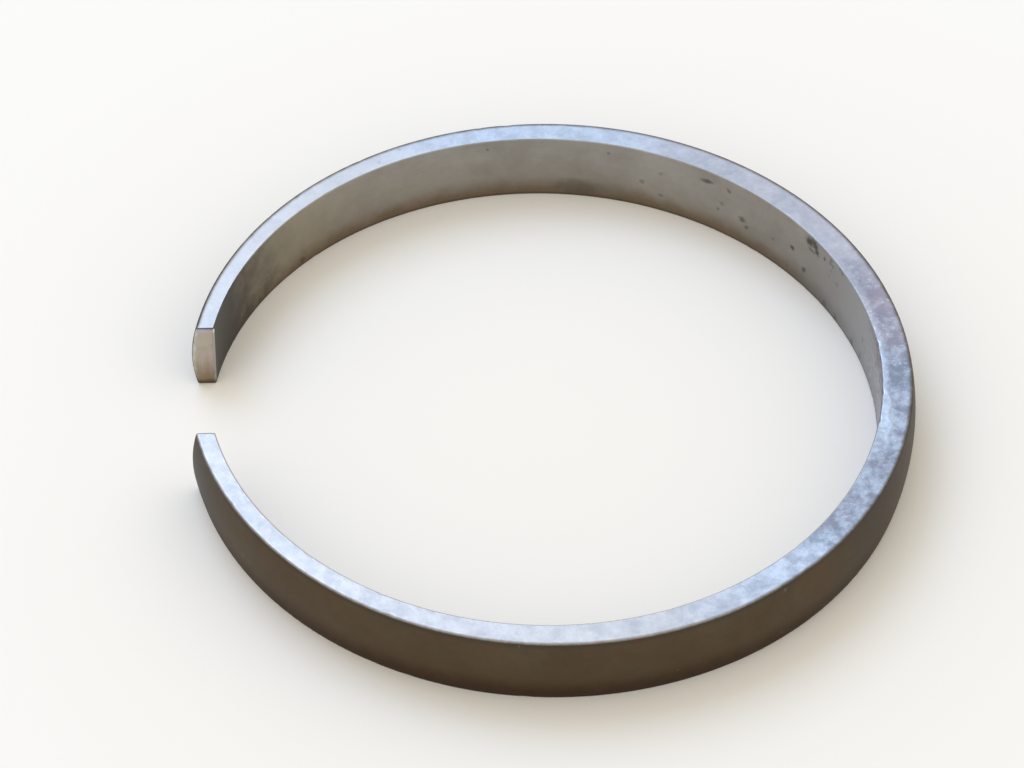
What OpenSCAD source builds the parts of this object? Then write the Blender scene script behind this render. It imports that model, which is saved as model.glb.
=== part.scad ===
// Split synchronizer ring, one piece of steel. The friction face is crowned, the bore sits
// off centre towards the split so that the wall thins to both ends, and the two cut ends are
// parallel. The ring's axis is Z, its lower face lies on Z = 0 and the split points to -X.

/* [Ring] */
// Diameter over the crest of the friction face
crest_d = 76.3; // [60:0.1:100]
// Height between the two side faces
height = 8.2; // [6:0.1:12]

/* [Wall] */
// Wall opposite the split, from the bore to the crest
wall_back = 3.7; // [2.6:0.05:5]
// Wall on the middle of the split, from the bore to the crest
wall_split = 2.4; // [1.8:0.05:3.6]

/* [Friction face] */
// Fall of the face from its crest to each side face
crown_drop = 0.5; // [0.1:0.05:0.9]

/* [Split] */
// Distance between the two parallel ends
split_w = 14.9; // [4:0.1:30]

/* [Edges] */
// Radius on the two outer edges
outer_edge_r = 0.25; // [0.1:0.05:0.6]
// Chamfer on the two edges of the bore
bore_chamfer = 0.15; // [0.05:0.05:0.4]
// Chamfer on the straight edges of the cut ends
end_chamfer = 0.1; // [0.05:0.05:0.3]

/* [Hidden] */
$fn = 240;
// Cutters run past the faces they open by this much
over = 1;
crest_r = crest_d / 2;
bore_r = crest_r - (wall_back + wall_split) / 2;
bore_x = -(wall_back - wall_split) / 2;
half_h = height / 2;
half_split = split_w / 2;
// Arc of the crown, from its fall over half the height
crown_r = (pow(half_h, 2) + pow(crown_drop, 2)) / (2 * crown_drop);
crown_x = crest_r - crown_r;
// Centre of the edge round that touches the side face and the crown
round_z = half_h - outer_edge_r;
round_x = crown_x + sqrt(pow(crown_r - outer_edge_r, 2) - pow(round_z, 2));
round_a = atan2(round_z, round_x - crown_x);
// Where the bore meets the cut ends
corner_x = bore_x - sqrt(pow(bore_r, 2) - pow(half_split, 2));

// Corner of the profile that lies outside the edge round
module round_corner() {
    translate([round_x, round_z])
        polygon([
            [0, 0],
            [2 * cos(round_a), 2 * sin(round_a)],
            [2, 2],
            [0, 2]
        ]);
}

// Half section of the blank, from the axis to the crown, about the middle of the height
module blank_section() {
    difference() {
        intersection() {
            translate([crown_x, 0])
                circle(r = crown_r);
            translate([0, -half_h])
                square([crest_r + over, height]);
        }
        round_corner();
        mirror([0, 1])
            round_corner();
    }
    intersection() {
        translate([round_x, round_z])
            circle(r = outer_edge_r);
        round_corner();
    }
    mirror([0, 1])
        intersection() {
            translate([round_x, round_z])
                circle(r = outer_edge_r);
            round_corner();
        }
}

// Solid disc with the crowned face and the rounded outer edges
module blank() {
    translate([0, 0, half_h])
        rotate_extrude()
            blank_section();
}

// Off-centre bore with a chamfer at each face
module bore_cutter() {
    translate([bore_x, 0, -over])
        cylinder(r = bore_r, h = height + 2 * over);
    translate([bore_x, 0, -over])
        cylinder(r1 = bore_r + bore_chamfer + over, r2 = bore_r, h = bore_chamfer + over);
    translate([bore_x, 0, height - bore_chamfer])
        cylinder(r1 = bore_r, r2 = bore_r + bore_chamfer + over, h = bore_chamfer + over);
}

// Parallel slot between the two ends
module split_cutter() {
    translate([-crest_r - over, -half_split, -over])
        cube([crest_r + over, split_w, height + 2 * over]);
}

// Square bar that breaks a straight edge by a chamfer
module edge_bar(length) {
    side = end_chamfer * sqrt(2);
    rotate([0, 0, 45])
        translate([-side / 2, -side / 2, 0])
            cube([side, side, length]);
}

// Breaks on the straight edges of one cut end, on the +Y side
module end_breaks() {
    translate([corner_x, half_split, -over])
        edge_bar(height + 2 * over);
    for (z = [0, height])
        translate([-crest_r - over, half_split, z])
            rotate([0, 90, 0])
                edge_bar(crest_r / 2);
}

module synchronizer_ring() {
    color([0.52, 0.51, 0.5])
        difference() {
            blank();
            bore_cutter();
            split_cutter();
            end_breaks();
            mirror([0, 1, 0])
                end_breaks();
        }
}

synchronizer_ring();
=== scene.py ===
"""Looks of a split synchronizer ring: its dressed surface, a plain stage, the lights and the camera."""

import logging
import math
from abc import ABC, abstractmethod
from dataclasses import dataclass, replace
from enum import Enum, IntEnum, IntFlag
from functools import reduce
from operator import or_
from typing import TypeAlias

import bpy
import numpy as np
from mathutils import Matrix, Vector


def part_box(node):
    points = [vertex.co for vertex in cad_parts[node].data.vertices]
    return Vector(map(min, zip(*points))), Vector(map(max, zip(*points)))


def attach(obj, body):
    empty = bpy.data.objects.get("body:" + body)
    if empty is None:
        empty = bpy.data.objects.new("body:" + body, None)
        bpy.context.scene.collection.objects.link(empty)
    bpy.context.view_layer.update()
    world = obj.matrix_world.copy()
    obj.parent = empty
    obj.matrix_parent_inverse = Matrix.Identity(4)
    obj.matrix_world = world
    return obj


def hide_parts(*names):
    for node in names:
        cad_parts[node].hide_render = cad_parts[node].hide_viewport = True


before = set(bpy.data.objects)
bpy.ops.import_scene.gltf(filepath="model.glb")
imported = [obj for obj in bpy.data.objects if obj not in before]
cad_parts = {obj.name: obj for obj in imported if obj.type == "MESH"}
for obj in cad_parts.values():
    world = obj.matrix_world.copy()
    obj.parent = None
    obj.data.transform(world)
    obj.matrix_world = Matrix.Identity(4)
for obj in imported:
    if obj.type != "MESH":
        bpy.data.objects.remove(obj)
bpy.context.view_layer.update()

MM = 0.001
PHOTO_WIDTH_PX = 1024
SENSOR_MM = 36.0
EDGE_ATTRIBUTE = "edge_mm"
WRAP_ATTRIBUTE = "past_outer_edge_mm"
MAP_NAME = "OFBake"
MASK_MIDDLE = 0.5

log = logging.getLogger("ring")

Socket: TypeAlias = bpy.types.NodeSocket
NodeTree: TypeAlias = bpy.types.NodeTree
Side: TypeAlias = tuple[np.ndarray, np.ndarray]
Colour: TypeAlias = tuple[float, float, float]
# A range eases from nought at its first place to one at its second. A ramp also gives the two results.
Range: TypeAlias = tuple[float, float]
Ramp: TypeAlias = tuple[float, float, float, float]
Value: TypeAlias = "Field | float | Colour"
Inputs: TypeAlias = dict[str | int, Value]


class Zone(IntEnum):
    """The ring's four finishes, in the order of the mesh's material slots."""

    BORE = 0
    SIDE_FACE = 1
    FRICTION_FACE = 2
    CUT_END = 3


class Corner(IntFlag):
    """Where a corner of the section lies. With neither flag it is the lower one at the bore."""

    OUTSIDE = 1
    ABOVE = 2


class Kind(Enum):
    """What a socket of a shared effect carries, by Blender's name."""

    VALUE = "NodeSocketFloat"
    VECTOR = "NodeSocketVector"
    COLOUR = "NodeSocketColor"


class Mixed(Enum):
    """What a Mix node mixes: Blender's data type, and the end of its sockets' identifiers."""

    COLOURS = ("RGBA", "Color")
    VALUES = ("FLOAT", "Float")


class Field:
    """A node's output. Sums, products and the like of such values are Math nodes."""

    def __init__(self, shader: "Shader", socket: Socket) -> None:
        """Keeps the output and the helper that adds nodes behind it."""
        self.shader = shader
        self.socket = socket

    def __add__(self, other: Value) -> "Field":
        """The sum of two values."""
        return self.shader.math("ADD", self, other)

    def __sub__(self, other: Value) -> "Field":
        """The first value less the second."""
        return self.shader.math("SUBTRACT", self, other)

    def __rsub__(self, other: float) -> "Field":
        """A plain number less the value."""
        return self.shader.math("SUBTRACT", other, self)

    def __mul__(self, other: Value) -> "Field":
        """The product of two values."""
        return self.shader.math("MULTIPLY", self, other)

    def __truediv__(self, other: Value) -> "Field":
        """The first value over the second."""
        return self.shader.math("DIVIDE", self, other)

    def __rtruediv__(self, other: float) -> "Field":
        """A plain number over the value."""
        return self.shader.math("DIVIDE", other, self)

    def __or__(self, other: Value) -> "Field":
        """The greater of two values."""
        return self.shader.math("MAXIMUM", self, other)

    def __abs__(self) -> "Field":
        """The value without its sign."""
        return self.shader.math("ABSOLUTE", self)

    def ramp(self, low: Value, high: Value, start: float = 0.0, end: float = 1.0) -> "Field":
        """Eases the value from one range to another.

        Args:
            low: where the result is start.
            high: where the result is end.
            start: the result at low.
            end: the result at high.

        Returns:
            The result, held between start and end.
        """
        inputs = dict(enumerate((self, low, high, start, end)))
        return self.shader.output("ShaderNodeMapRange", inputs, interpolation_type="SMOOTHSTEP")

    def near(self, at: float, reach: Range | Ramp) -> "Field":
        """Eases the distance from a place by a range or a ramp."""
        return abs(self - at).ramp(*reach)

    def sway(self, width: Value) -> "Field":
        """Turns a mask into a swing of this width about nought."""
        return (self - MASK_MIDDLE) * width


@dataclass(frozen=True)
class Tint:
    """A colour that lies over another one, and how much of it shows at most."""

    colour: Colour
    share: float


class Shader:
    """Adds nodes to one node tree, and links or sets their sockets."""

    def __init__(self, tree: NodeTree) -> None:
        """Keeps the tree that the nodes go into."""
        self.tree = tree

    def feed(self, socket: Socket, value: Value) -> None:
        """Links a socket to a node's output, or sets it to a plain value.

        Args:
            socket: the input socket.
            value: the output, the number or the colour.
        """
        if isinstance(value, Field):
            self.tree.links.new(value.socket, socket)
        elif socket.type == "RGBA":
            socket.default_value = (*value, 1.0)
        else:
            socket.default_value = value

    def feed_all(self, node: bpy.types.Node, inputs: Inputs) -> None:
        """Links or sets several inputs of a node, by name or number."""
        for key, value in inputs.items():
            self.feed(node.inputs[key], value)

    def node(self, kind: str, inputs: Inputs | None = None, **settings: object) -> bpy.types.Node:
        """Adds a node.

        Args:
            kind: the node's Blender type name.
            inputs: what its inputs are linked or set to, by name or number.
            settings: properties to set on it.

        Returns:
            The new node.
        """
        made = self.tree.nodes.new(kind)
        for name, value in settings.items():
            setattr(made, name, value)
        self.feed_all(made, inputs or {})
        return made

    def output(
        self, kind: str, inputs: Inputs | None = None, key: str | int = 0, **settings: object
    ) -> Field:
        """Adds a node, given as for node(), and returns its output of this name or number."""
        return Field(self, self.node(kind, inputs, **settings).outputs[key])

    def attribute(self, name: str) -> Field:
        """Reads a value that the mesh holds on its vertices."""
        return self.output("ShaderNodeAttribute", key="Fac", attribute_name=name)

    def math(self, operation: str, first: Value, second: Value = 0.0) -> Field:
        """Adds a Math node of Blender's name for the operation, and returns its result."""
        return self.output("ShaderNodeMath", {0: first, 1: second}, operation=operation)

    def vector(self, operation: str, first: Value, second: Value = (0.0, 0.0, 0.0)) -> Field:
        """Adds a Vector Math node.

        Args:
            operation: Blender's name of the operation.
            first: its first input.
            second: its second input, or the scale for SCALE.

        Returns:
            The result: a value for LENGTH, and otherwise a vector.
        """
        other = "Scale" if operation == "SCALE" else 1
        key = "Value" if operation == "LENGTH" else 0
        return self.output("ShaderNodeVectorMath", {0: first, other: second}, key, operation=operation)

    def combine(self, x: Value, y: Value) -> Field:
        """Makes a flat vector of two values."""
        return self.output("ShaderNodeCombineXYZ", {0: x, 1: y})

    def split(self, vector: Field) -> list[Field]:
        """Takes a vector apart into its three values."""
        return [Field(self, part) for part in self.node("ShaderNodeSeparateXYZ", {0: vector}).outputs]

    def noise(self, place: Field, scale: Value, detail: float, roughness: float, key: str | int = 0) -> Field:
        """Adds a Noise texture.

        Args:
            place: where it is read.
            scale: features in each unit of place.
            detail: number of finer layers.
            roughness: weight of the finer layers.
            key: the output to take, if it isn't the value.

        Returns:
            The output, from 0 to 1.
        """
        inputs = {"Vector": place, "Scale": scale, "Detail": detail, "Roughness": roughness}
        return self.output("ShaderNodeTexNoise", inputs, key)

    def mix(self, mixed: Mixed, share: Value, base: Value, over: Value) -> Field:
        """Adds a Mix node.

        Args:
            mixed: what it mixes.
            share: how much of the second one shows, from 0 to 1.
            base: the first one.
            over: the second one.

        Returns:
            The result.
        """
        data_type, ending = mixed.value
        made = self.node("ShaderNodeMix", data_type=data_type)
        values = {"Factor_Float": share, f"A_{ending}": base, f"B_{ending}": over}
        for socket in made.inputs:
            if socket.identifier in values:
                self.feed(socket, values[socket.identifier])
        return Field(self, next(s for s in made.outputs if s.identifier == f"Result_{ending}"))

    def blend(self, share: Value, base: Value, over: Value) -> Field:
        """Mixes two colours by a share from 0 to 1."""
        return self.mix(Mixed.COLOURS, share, base, over)

    def lerp(self, share: Value, base: Value, over: Value) -> Field:
        """Mixes two values by a share from 0 to 1."""
        return self.mix(Mixed.VALUES, share, base, over)

    def lay(self, colour: Field, mask: Field, tint: Tint) -> Field:
        """Lays a tint over a colour by a mask."""
        return self.blend(mask * tint.share, colour, tint.colour)

    def effect(self, group: NodeTree, **values: Value) -> dict[str, Field]:
        """Places a shared effect.

        Args:
            group: the effect's node group.
            values: what its inputs are linked or set to.

        Returns:
            The effect's outputs by name.
        """
        made = self.node("ShaderNodeGroup", values, node_tree=group)
        return {socket.name: Field(self, socket) for socket in made.outputs}


class Effect:
    """A shared shader node group while it is being built."""

    def __init__(self, name: str, inputs: dict[str, Kind], outputs: dict[str, Kind]) -> None:
        """Makes the group and its sockets.

        Args:
            name: the group's name.
            inputs: what each input carries.
            outputs: what each output carries.
        """
        self.tree = bpy.data.node_groups.new(name, "ShaderNodeTree")
        for way, sockets in (("INPUT", inputs), ("OUTPUT", outputs)):
            for socket, kind in sockets.items():
                self.tree.interface.new_socket(socket, in_out=way, socket_type=kind.value)
        self.shader = Shader(self.tree)
        given = self.shader.node("NodeGroupInput").outputs
        self.inputs = {socket: Field(self.shader, given[socket]) for socket in inputs}

    def close(self, **results: Field) -> NodeTree:
        """Links the named results to the group's outputs and returns the finished group."""
        self.shader.node("NodeGroupOutput", results)
        return self.tree


@dataclass(frozen=True)
class Effects:
    """The effects that the finishes share, each a shader node group."""

    position: NodeTree
    clouding: NodeTree
    worn_edge: NodeTree
    grain: NodeTree
    tool_lines: NodeTree
    specks: NodeTree
    coat: NodeTree | None = None

    @classmethod
    def build(cls, coat: "SprayedCoat") -> "Effects":
        """Builds every effect once.

        Args:
            coat: the finish whose sprayed layer also reaches over the outer edges.

        Returns:
            The effects together.
        """
        marks = (cls._worn_edge(), cls._grain(), cls._tool_lines(), cls._specks())
        effects = cls(cls._position(), cls._clouding(), *marks)
        return replace(effects, coat=coat.layer(effects))

    @staticmethod
    def _position(nominal_r: float = 36.0) -> NodeTree:
        """Place in millimetres, and the distances around and along the ring's axis.

        Args:
            nominal_r: radius at which the distance around the ring is counted, in millimetres.

        Returns:
            The group, with the outputs Place, Around and Up.
        """
        made = Effect("ring position", {}, {"Place": Kind.VECTOR, "Around": Kind.VALUE, "Up": Kind.VALUE})
        s = made.shader
        place = s.vector("SCALE", s.output("ShaderNodeTexCoord", key="Object"), 1 / MM)
        x, y, up = s.split(place)
        return made.close(Place=place, Around=s.math("ARCTAN2", y, x) * nominal_r, Up=up)

    @staticmethod
    def _clouding() -> NodeTree:
        """Soft uneven patches: layered noise, eased about its middle, with the patch size in millimetres.

        Returns:
            The group, with the output Mask.
        """
        inputs = {"Place": Kind.VECTOR, "Patch": Kind.VALUE, "Spread": Kind.VALUE}
        made = Effect("clouding", inputs, {"Mask": Kind.VALUE})
        place, patch, spread = made.inputs.values()
        cloud = made.shader.noise(place, 1.0 / patch, detail=5.0, roughness=0.62)
        return made.close(Mask=cloud.ramp(MASK_MIDDLE - spread, spread + MASK_MIDDLE))

    @staticmethod
    def _worn_edge(unevenness: float = 2.2) -> NodeTree:
        """Rubbed edges: one at an edge and nought past an uneven width, given in millimetres.

        Args:
            unevenness: how far that width swings, as a share of it.

        Returns:
            The group, with the output Mask.
        """
        made = Effect("worn edge", {"Place": Kind.VECTOR, "Width": Kind.VALUE}, {"Mask": Kind.VALUE})
        s = made.shader
        place, width = made.inputs.values()
        rough = s.noise(place, scale=1.7, detail=4.0, roughness=0.7)
        edge = s.attribute(EDGE_ATTRIBUTE) + rough.sway(width * unevenness)
        return made.close(Mask=edge.ramp(0.0, width, 1.0, 0.0))

    @staticmethod
    def _grain() -> NodeTree:
        """Fine surface grain: noise of a size in millimetres.

        Returns:
            The group, with the output Height.
        """
        made = Effect("surface grain", {"Place": Kind.VECTOR, "Size": Kind.VALUE}, {"Height": Kind.VALUE})
        place, size = made.inputs.values()
        return made.close(Height=made.shader.noise(place, 1.0 / size, detail=2.0, roughness=0.6))

    @staticmethod
    def _tool_lines(drawn_out: float = 0.035) -> NodeTree:
        """Lines left by a tool: noise that is drawn out along its travel and repeats across at a pitch.

        Args:
            drawn_out: features in each millimetre of the travel.

        Returns:
            The group, with the output Height.
        """
        inputs = {"Along": Kind.VALUE, "Across": Kind.VALUE, "Pitch": Kind.VALUE}
        made = Effect("tool lines", inputs, {"Height": Kind.VALUE})
        s = made.shader
        along, across, pitch = made.inputs.values()
        place = s.combine(along * drawn_out, across / pitch)
        return made.close(Height=s.noise(place, scale=1.0, detail=3.0, roughness=0.6))

    @staticmethod
    def _specks(
        pull: float = 0.35, smallest: float = 0.06, more: float = 0.16, core: float = 0.4
    ) -> NodeTree:
        """Scattered specks: a ragged spot in a share of a Voronoi pattern's cells, larger with the size.

        Args:
            pull: how far noise pulls the pattern about, in millimetres.
            smallest: reach of the smallest spot, as a share of its cell.
            more: how much further the largest spot reaches.
            core: the part of the reach that is full.

        Returns:
            The group, with the output Mask.
        """
        inputs = {"Place": Kind.VECTOR, "Cell": Kind.VALUE, "Share": Kind.VALUE, "Size": Kind.VALUE}
        made = Effect("specks", inputs, {"Mask": Kind.VALUE})
        s = made.shader
        place, cell, share, size = made.inputs.values()
        ragged = s.noise(place, scale=2.5, detail=2.0, roughness=0.5, key="Color")
        pulled = s.vector("ADD", place, s.vector("SCALE", ragged, pull))
        cells = s.node("ShaderNodeTexVoronoi", {"Vector": pulled, "Scale": 1.0 / cell}).outputs
        drawn = s.node("ShaderNodeSeparateColor", {0: Field(s, cells["Color"])}).outputs
        chosen = s.math("LESS_THAN", Field(s, drawn[0]), share)
        reach = (Field(s, drawn[1]) * more + smallest) * size
        spot = Field(s, cells["Distance"]).ramp(reach * core, reach, 1.0, 0.0)
        return made.close(Mask=spot * chosen)


@dataclass(frozen=True)
class Patches:
    """Soft uneven patches: size in millimetres, softness of the rims, and weight in what they add to."""

    size: float
    spread: float
    weight: float = 1.0


@dataclass(frozen=True)
class Specks:
    """Scattered specks: cell for one in millimetres, share of filled cells, speck size, and weight."""

    cell: float
    share: float
    size: float
    weight: float = 1.0


class Place:
    """The place on the ring in one node tree, and the shared effects as they are read there."""

    def __init__(self, s: Shader, effects: Effects) -> None:
        """Reads the place: the point in millimetres, the way around the ring and the height.

        Args:
            s: the tree's node helper.
            effects: the shared effects.
        """
        self.s = s
        self.effects = effects
        self.point, self.around, self.up = s.effect(effects.position).values()

    def past_edge(self) -> Field:
        """Distance past the line where the coat begins, in millimetres."""
        return self.s.attribute(WRAP_ATTRIBUTE)

    def patches(self, kind: Patches) -> Field:
        """Mask of soft uneven patches."""
        values = {"Place": self.point, "Patch": kind.size, "Spread": kind.spread}
        return self.s.effect(self.effects.clouding, **values)["Mask"]

    def specks(self, kind: Specks) -> Field:
        """Mask of scattered specks."""
        values = {"Place": self.point, "Cell": kind.cell, "Share": kind.share, "Size": kind.size}
        return self.s.effect(self.effects.specks, **values)["Mask"]

    def worn(self, width: float) -> Field:
        """Mask of rubbed edges of a width in millimetres."""
        return self.s.effect(self.effects.worn_edge, Place=self.point, Width=width)["Mask"]

    def grain(self, size: float) -> Field:
        """Height of fine grain of a size in millimetres."""
        return self.s.effect(self.effects.grain, Place=self.point, Size=size)["Height"]

    def lines(self, along: Field, across: Field, pitch: float) -> Field:
        """Height of tool lines that run along one value and repeat across another at a pitch."""
        return self.s.effect(self.effects.tool_lines, Along=along, Across=across, Pitch=pitch)["Height"]


@dataclass(frozen=True)
class Stain:
    """A dark oval mark on the bore.

    It has a place around the ring and up it, half a length and half a width, in millimetres, a
    depth of colour from 0 to 1, and a turn in degrees.
    """

    around: float
    up: float
    long: float
    wide: float
    depth: float
    turn: float = 0.0


BORE_STAINS = (
    Stain(36.1, 6.75, 1.0, 0.34, 0.7, -4.0),
    Stain(33.2, 6.7, 0.36, 0.3, 0.5),
    Stain(34.1, 4.42, 0.4, 0.28, 0.35, 20.0),
    Stain(31.3, 3.55, 0.6, 0.52, 0.65, 10.0),
    Stain(30.6, 2.7, 0.45, 0.3, 0.5, -40.0),
    Stain(23.7, 4.24, 0.42, 0.4, 0.85),
    Stain(20.9, 7.25, 0.82, 0.78, 0.9),
    Stain(20.1, 7.45, 0.95, 0.72, 0.85, 42.0),
    Stain(19.55, 6.75, 0.72, 0.5, 0.85, 80.0),
    Stain(20.45, 6.25, 0.8, 0.3, 0.6, 5.0),
    Stain(18.1, 6.85, 0.26, 0.3, 0.65),
    Stain(16.8, 7.65, 0.32, 0.24, 0.5),
    Stain(16.95, 7.1, 0.24, 0.24, 0.5),
    Stain(16.45, 7.05, 0.26, 0.26, 0.5, 30.0),
    Stain(16.7, 6.3, 0.24, 0.26, 0.3),
    Stain(17.1, 5.2, 0.28, 0.32, 0.22),
    Stain(14.95, 7.95, 0.32, 0.22, 0.45),
    Stain(14.4, 7.85, 0.32, 0.24, 0.5),
    Stain(21.6, 2.5, 0.36, 0.5, 0.65, 10.0),
    Stain(15.35, 5.35, 0.36, 0.36, 0.3),
    Stain(-4.1, 7.75, 0.5, 0.34, 0.75),
    Stain(-3.3, 6.9, 0.3, 0.5, 0.55, 10.0),
    Stain(0.6, 2.6, 0.3, 0.34, 0.45, 30.0),
    Stain(-1.2, 2.7, 0.36, 0.26, 0.4, -20.0),
    Stain(-0.5, 1.25, 0.3, 0.3, 0.45),
    Stain(61.6, 7.05, 0.26, 0.22, 0.6, 20.0),
    Stain(41.8, 5.5, 0.34, 0.32, 0.35),
    Stain(44.0, 3.66, 0.4, 0.32, 0.35, 30.0),
    Stain(41.7, 2.3, 0.42, 0.32, 0.35),
    Stain(51.5, 1.4, 3.6, 1.4, 0.35),
    Stain(17.5, 0.7, 0.55, 0.5, 0.4),
    Stain(15.2, 0.6, 0.6, 0.5, 0.4),
    Stain(11.0, 0.6, 0.5, 0.6, 0.45),
    Stain(8.4, 0.9, 0.4, 0.6, 0.35),
)


def new_material(name: str) -> tuple[bpy.types.Material, Shader]:
    """Makes a material with one Principled shader.

    Args:
        name: the material's name.

    Returns:
        The material and its node helper.
    """
    material = bpy.data.materials.new(name)
    material.use_nodes = True
    return material, Shader(material.node_tree)


class Finish(ABC):
    """What every finish shares: a material whose Principled shader reads the shared effects.

    In the finishes, places and ranges are millimetres around the ring or up it. The way around is
    nought opposite the split and grows towards the end at +Y.
    """

    name: str
    bump_mm: float

    @abstractmethod
    def make(self, effects: Effects) -> bpy.types.Material:
        """Builds the material from the shared effects and returns it."""

    def start(self, effects: Effects) -> tuple[bpy.types.Material, Shader, Place]:
        """Makes an empty material of this name, and returns it with its node helper and its place."""
        material, s = new_material(self.name)
        return material, s, Place(s, effects)

    def close(self, material: bpy.types.Material, height: Field, inputs: Inputs) -> bpy.types.Material:
        """Feeds the material's Principled shader.

        Args:
            material: the material.
            height: height of the surface from 0 to 1, which the finish's bump raises.
            inputs: what the shader's other inputs are linked or set to.

        Returns:
            The finished material.
        """
        s = Shader(material.node_tree)
        bump = s.output("ShaderNodeBump", {"Distance": self.bump_mm * MM, "Height": height})
        s.feed_all(material.node_tree.nodes["Principled BSDF"], {**inputs, "Normal": bump})
        return material


@dataclass(frozen=True)
class GroundSteel(Finish):
    """Ground side faces and outer edges: cool steel, mottled and frosted with partly painted glints, and a
    coated rim.

    It has two dull stretches, a painted highlight along the bore's edge opposite the split, a lavender
    stretch beside them, and painted highlights that make it brighter and calmer towards both ends.
    """

    name: str = "ground_side_faces"
    pale: Colour = (0.595, 0.683, 0.80)
    shade: Colour = (0.215, 0.24, 0.295)
    broad: Patches = Patches(8.0, 0.2, 0.3)
    blotch: Patches = Patches(2.0, 0.13, 0.32)
    fleck: Patches = Patches(0.6, 0.14, 0.22)
    calm_past: Ramp = (8.0, 24.0, 0.0, 0.5)
    calm_light: float = 0.42
    grain_mm: float = 0.2
    grain_weight: float = 0.3
    mauve: Colour = (0.315, 0.278, 0.32)
    mauve_patches: Patches = Patches(3.4, 0.14)
    mauve_share: Range = (0.35, 0.95)
    lavender: Colour = (0.545, 0.55, 0.59)
    lavender_from: Range = (-2.0, 9.0)
    lavender_to: Range = (50.0, 36.0)
    # Painted highlight: the colour and the stretches where the face is brighter and calmer, towards both
    # ends.
    bright: Colour = (0.63, 0.61, 0.585)
    bright_front: Range = (-30.0, -50.0)
    bright_back: Range = (60.0, 80.0)
    bright_share: float = 0.5
    bright_light: float = 0.78
    dull_at: float = 4.0
    dull_reach: Range = (15.0, 5.0)
    dull_share: float = 0.48
    front_dull_at: float = -16.5
    front_dull_reach: Range = (16.0, 8.0)
    front_dull_weight: float = 0.78
    dirt: Colour = (0.10, 0.10, 0.12)
    dirt_specks: Specks = Specks(2.4, 0.16, 1.0)
    dirt_share: Range = (0.45, 0.1)
    rubbed: Colour = (0.66, 0.69, 0.74)
    # Painted highlight: a paler strip along the bore's edge opposite the split.
    inner_highlight_at: float = 0.0
    inner_highlight_reach: Range = (18.0, 9.0)
    inner_highlight_light: float = 0.5
    inner_highlight_rim: Range = (-2.1, -2.7)
    inner_highlight_sway: float = 0.8
    inner_highlight_shift: Ramp = (-4.0, -10.0, 0.0, -0.9)
    # Frost specks, and worn edges boosted opposite the split, are partly painted glints.
    frost: Patches = Patches(0.32, 0.25, 0.8)
    frost_above: Range = (0.8, 0.95)
    frost_everywhere: float = 0.25
    worn_mm: float = 0.22
    wear_and_glint_within: Ramp = (9.0, 3.0, 0.25, 0.8)
    dull: float = 0.46
    smooth: float = 0.3
    blotch_relief: float = 0.6
    bump_mm: float = 0.012

    def make(self, effects: Effects) -> bpy.types.Material:
        """Builds the material.

        Args:
            effects: the shared effects.

        Returns:
            The material.
        """
        material, s, where = self.start(effects)
        around = where.around
        broad, blotch, fleck = map(where.patches, (self.broad, self.blotch, self.fleck))
        grain = where.grain(self.grain_mm)
        front = around.near(self.front_dull_at, self.front_dull_reach)
        dulled = around.near(self.dull_at, self.dull_reach) | front * self.front_dull_weight
        greyed = around.ramp(*self.lavender_from) * around.ramp(*self.lavender_to)
        # Painted highlight: towards both ends the face is brighter and calmer, with fewer dark specks.
        highlighted = around.ramp(*self.bright_front) | around.ramp(*self.bright_back)
        # Painted highlight: the face is paler along the bore's edge opposite the split.
        ragged = where.past_edge() + blotch.sway(self.inner_highlight_sway) + around.ramp(*self.inner_highlight_shift)
        inside = around.near(self.inner_highlight_at, self.inner_highlight_reach) * ragged.ramp(*self.inner_highlight_rim)
        mottle = broad * self.broad.weight + blotch * self.blotch.weight + fleck * self.fleck.weight
        mottle = s.lerp(around.ramp(*self.calm_past), mottle, self.calm_light)
        light = mottle + grain * self.grain_weight - dulled * self.dull_share + inside * self.inner_highlight_light
        light = s.lerp(highlighted * self.bright_share, light, self.bright_light)
        ruddy = where.patches(self.mauve_patches) * s.lerp(greyed, *self.mauve_share)
        pale = s.blend(highlighted, s.blend(greyed, self.pale, self.lavender), self.bright)
        colour = s.blend(light, s.blend(ruddy, self.shade, self.mauve), pale)
        dirty = where.specks(self.dirt_specks) * s.lerp(highlighted, *self.dirt_share)
        colour = s.blend(dirty, colour, self.dirt)
        # Frost specks and rubbed edges are lightened: partly wear, and partly painted glints, strongest
        # opposite the split.
        frost = where.patches(self.frost).ramp(*self.frost_above)
        frosted = frost * blotch * (dulled + self.frost_everywhere) | frost * inside
        worn = where.worn(self.worn_mm) * abs(around).ramp(*self.wear_and_glint_within)
        colour = s.blend(worn | frosted * self.frost.weight, colour, self.rubbed)
        coat = s.effect(effects.coat)
        cover = coat["Cover"]
        height = s.lerp(cover, grain + blotch * self.blotch_relief, coat["Height"])
        inputs = {
            "Base Color": s.blend(cover, colour, coat["Colour"]),
            "Roughness": s.lerp(cover, s.lerp(light, self.dull, self.smooth), coat["Roughness"]),
            "Metallic": s.lerp(cover, 1.0, SprayedCoat.metallic),
        }
        return self.close(material, height, inputs)


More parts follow.
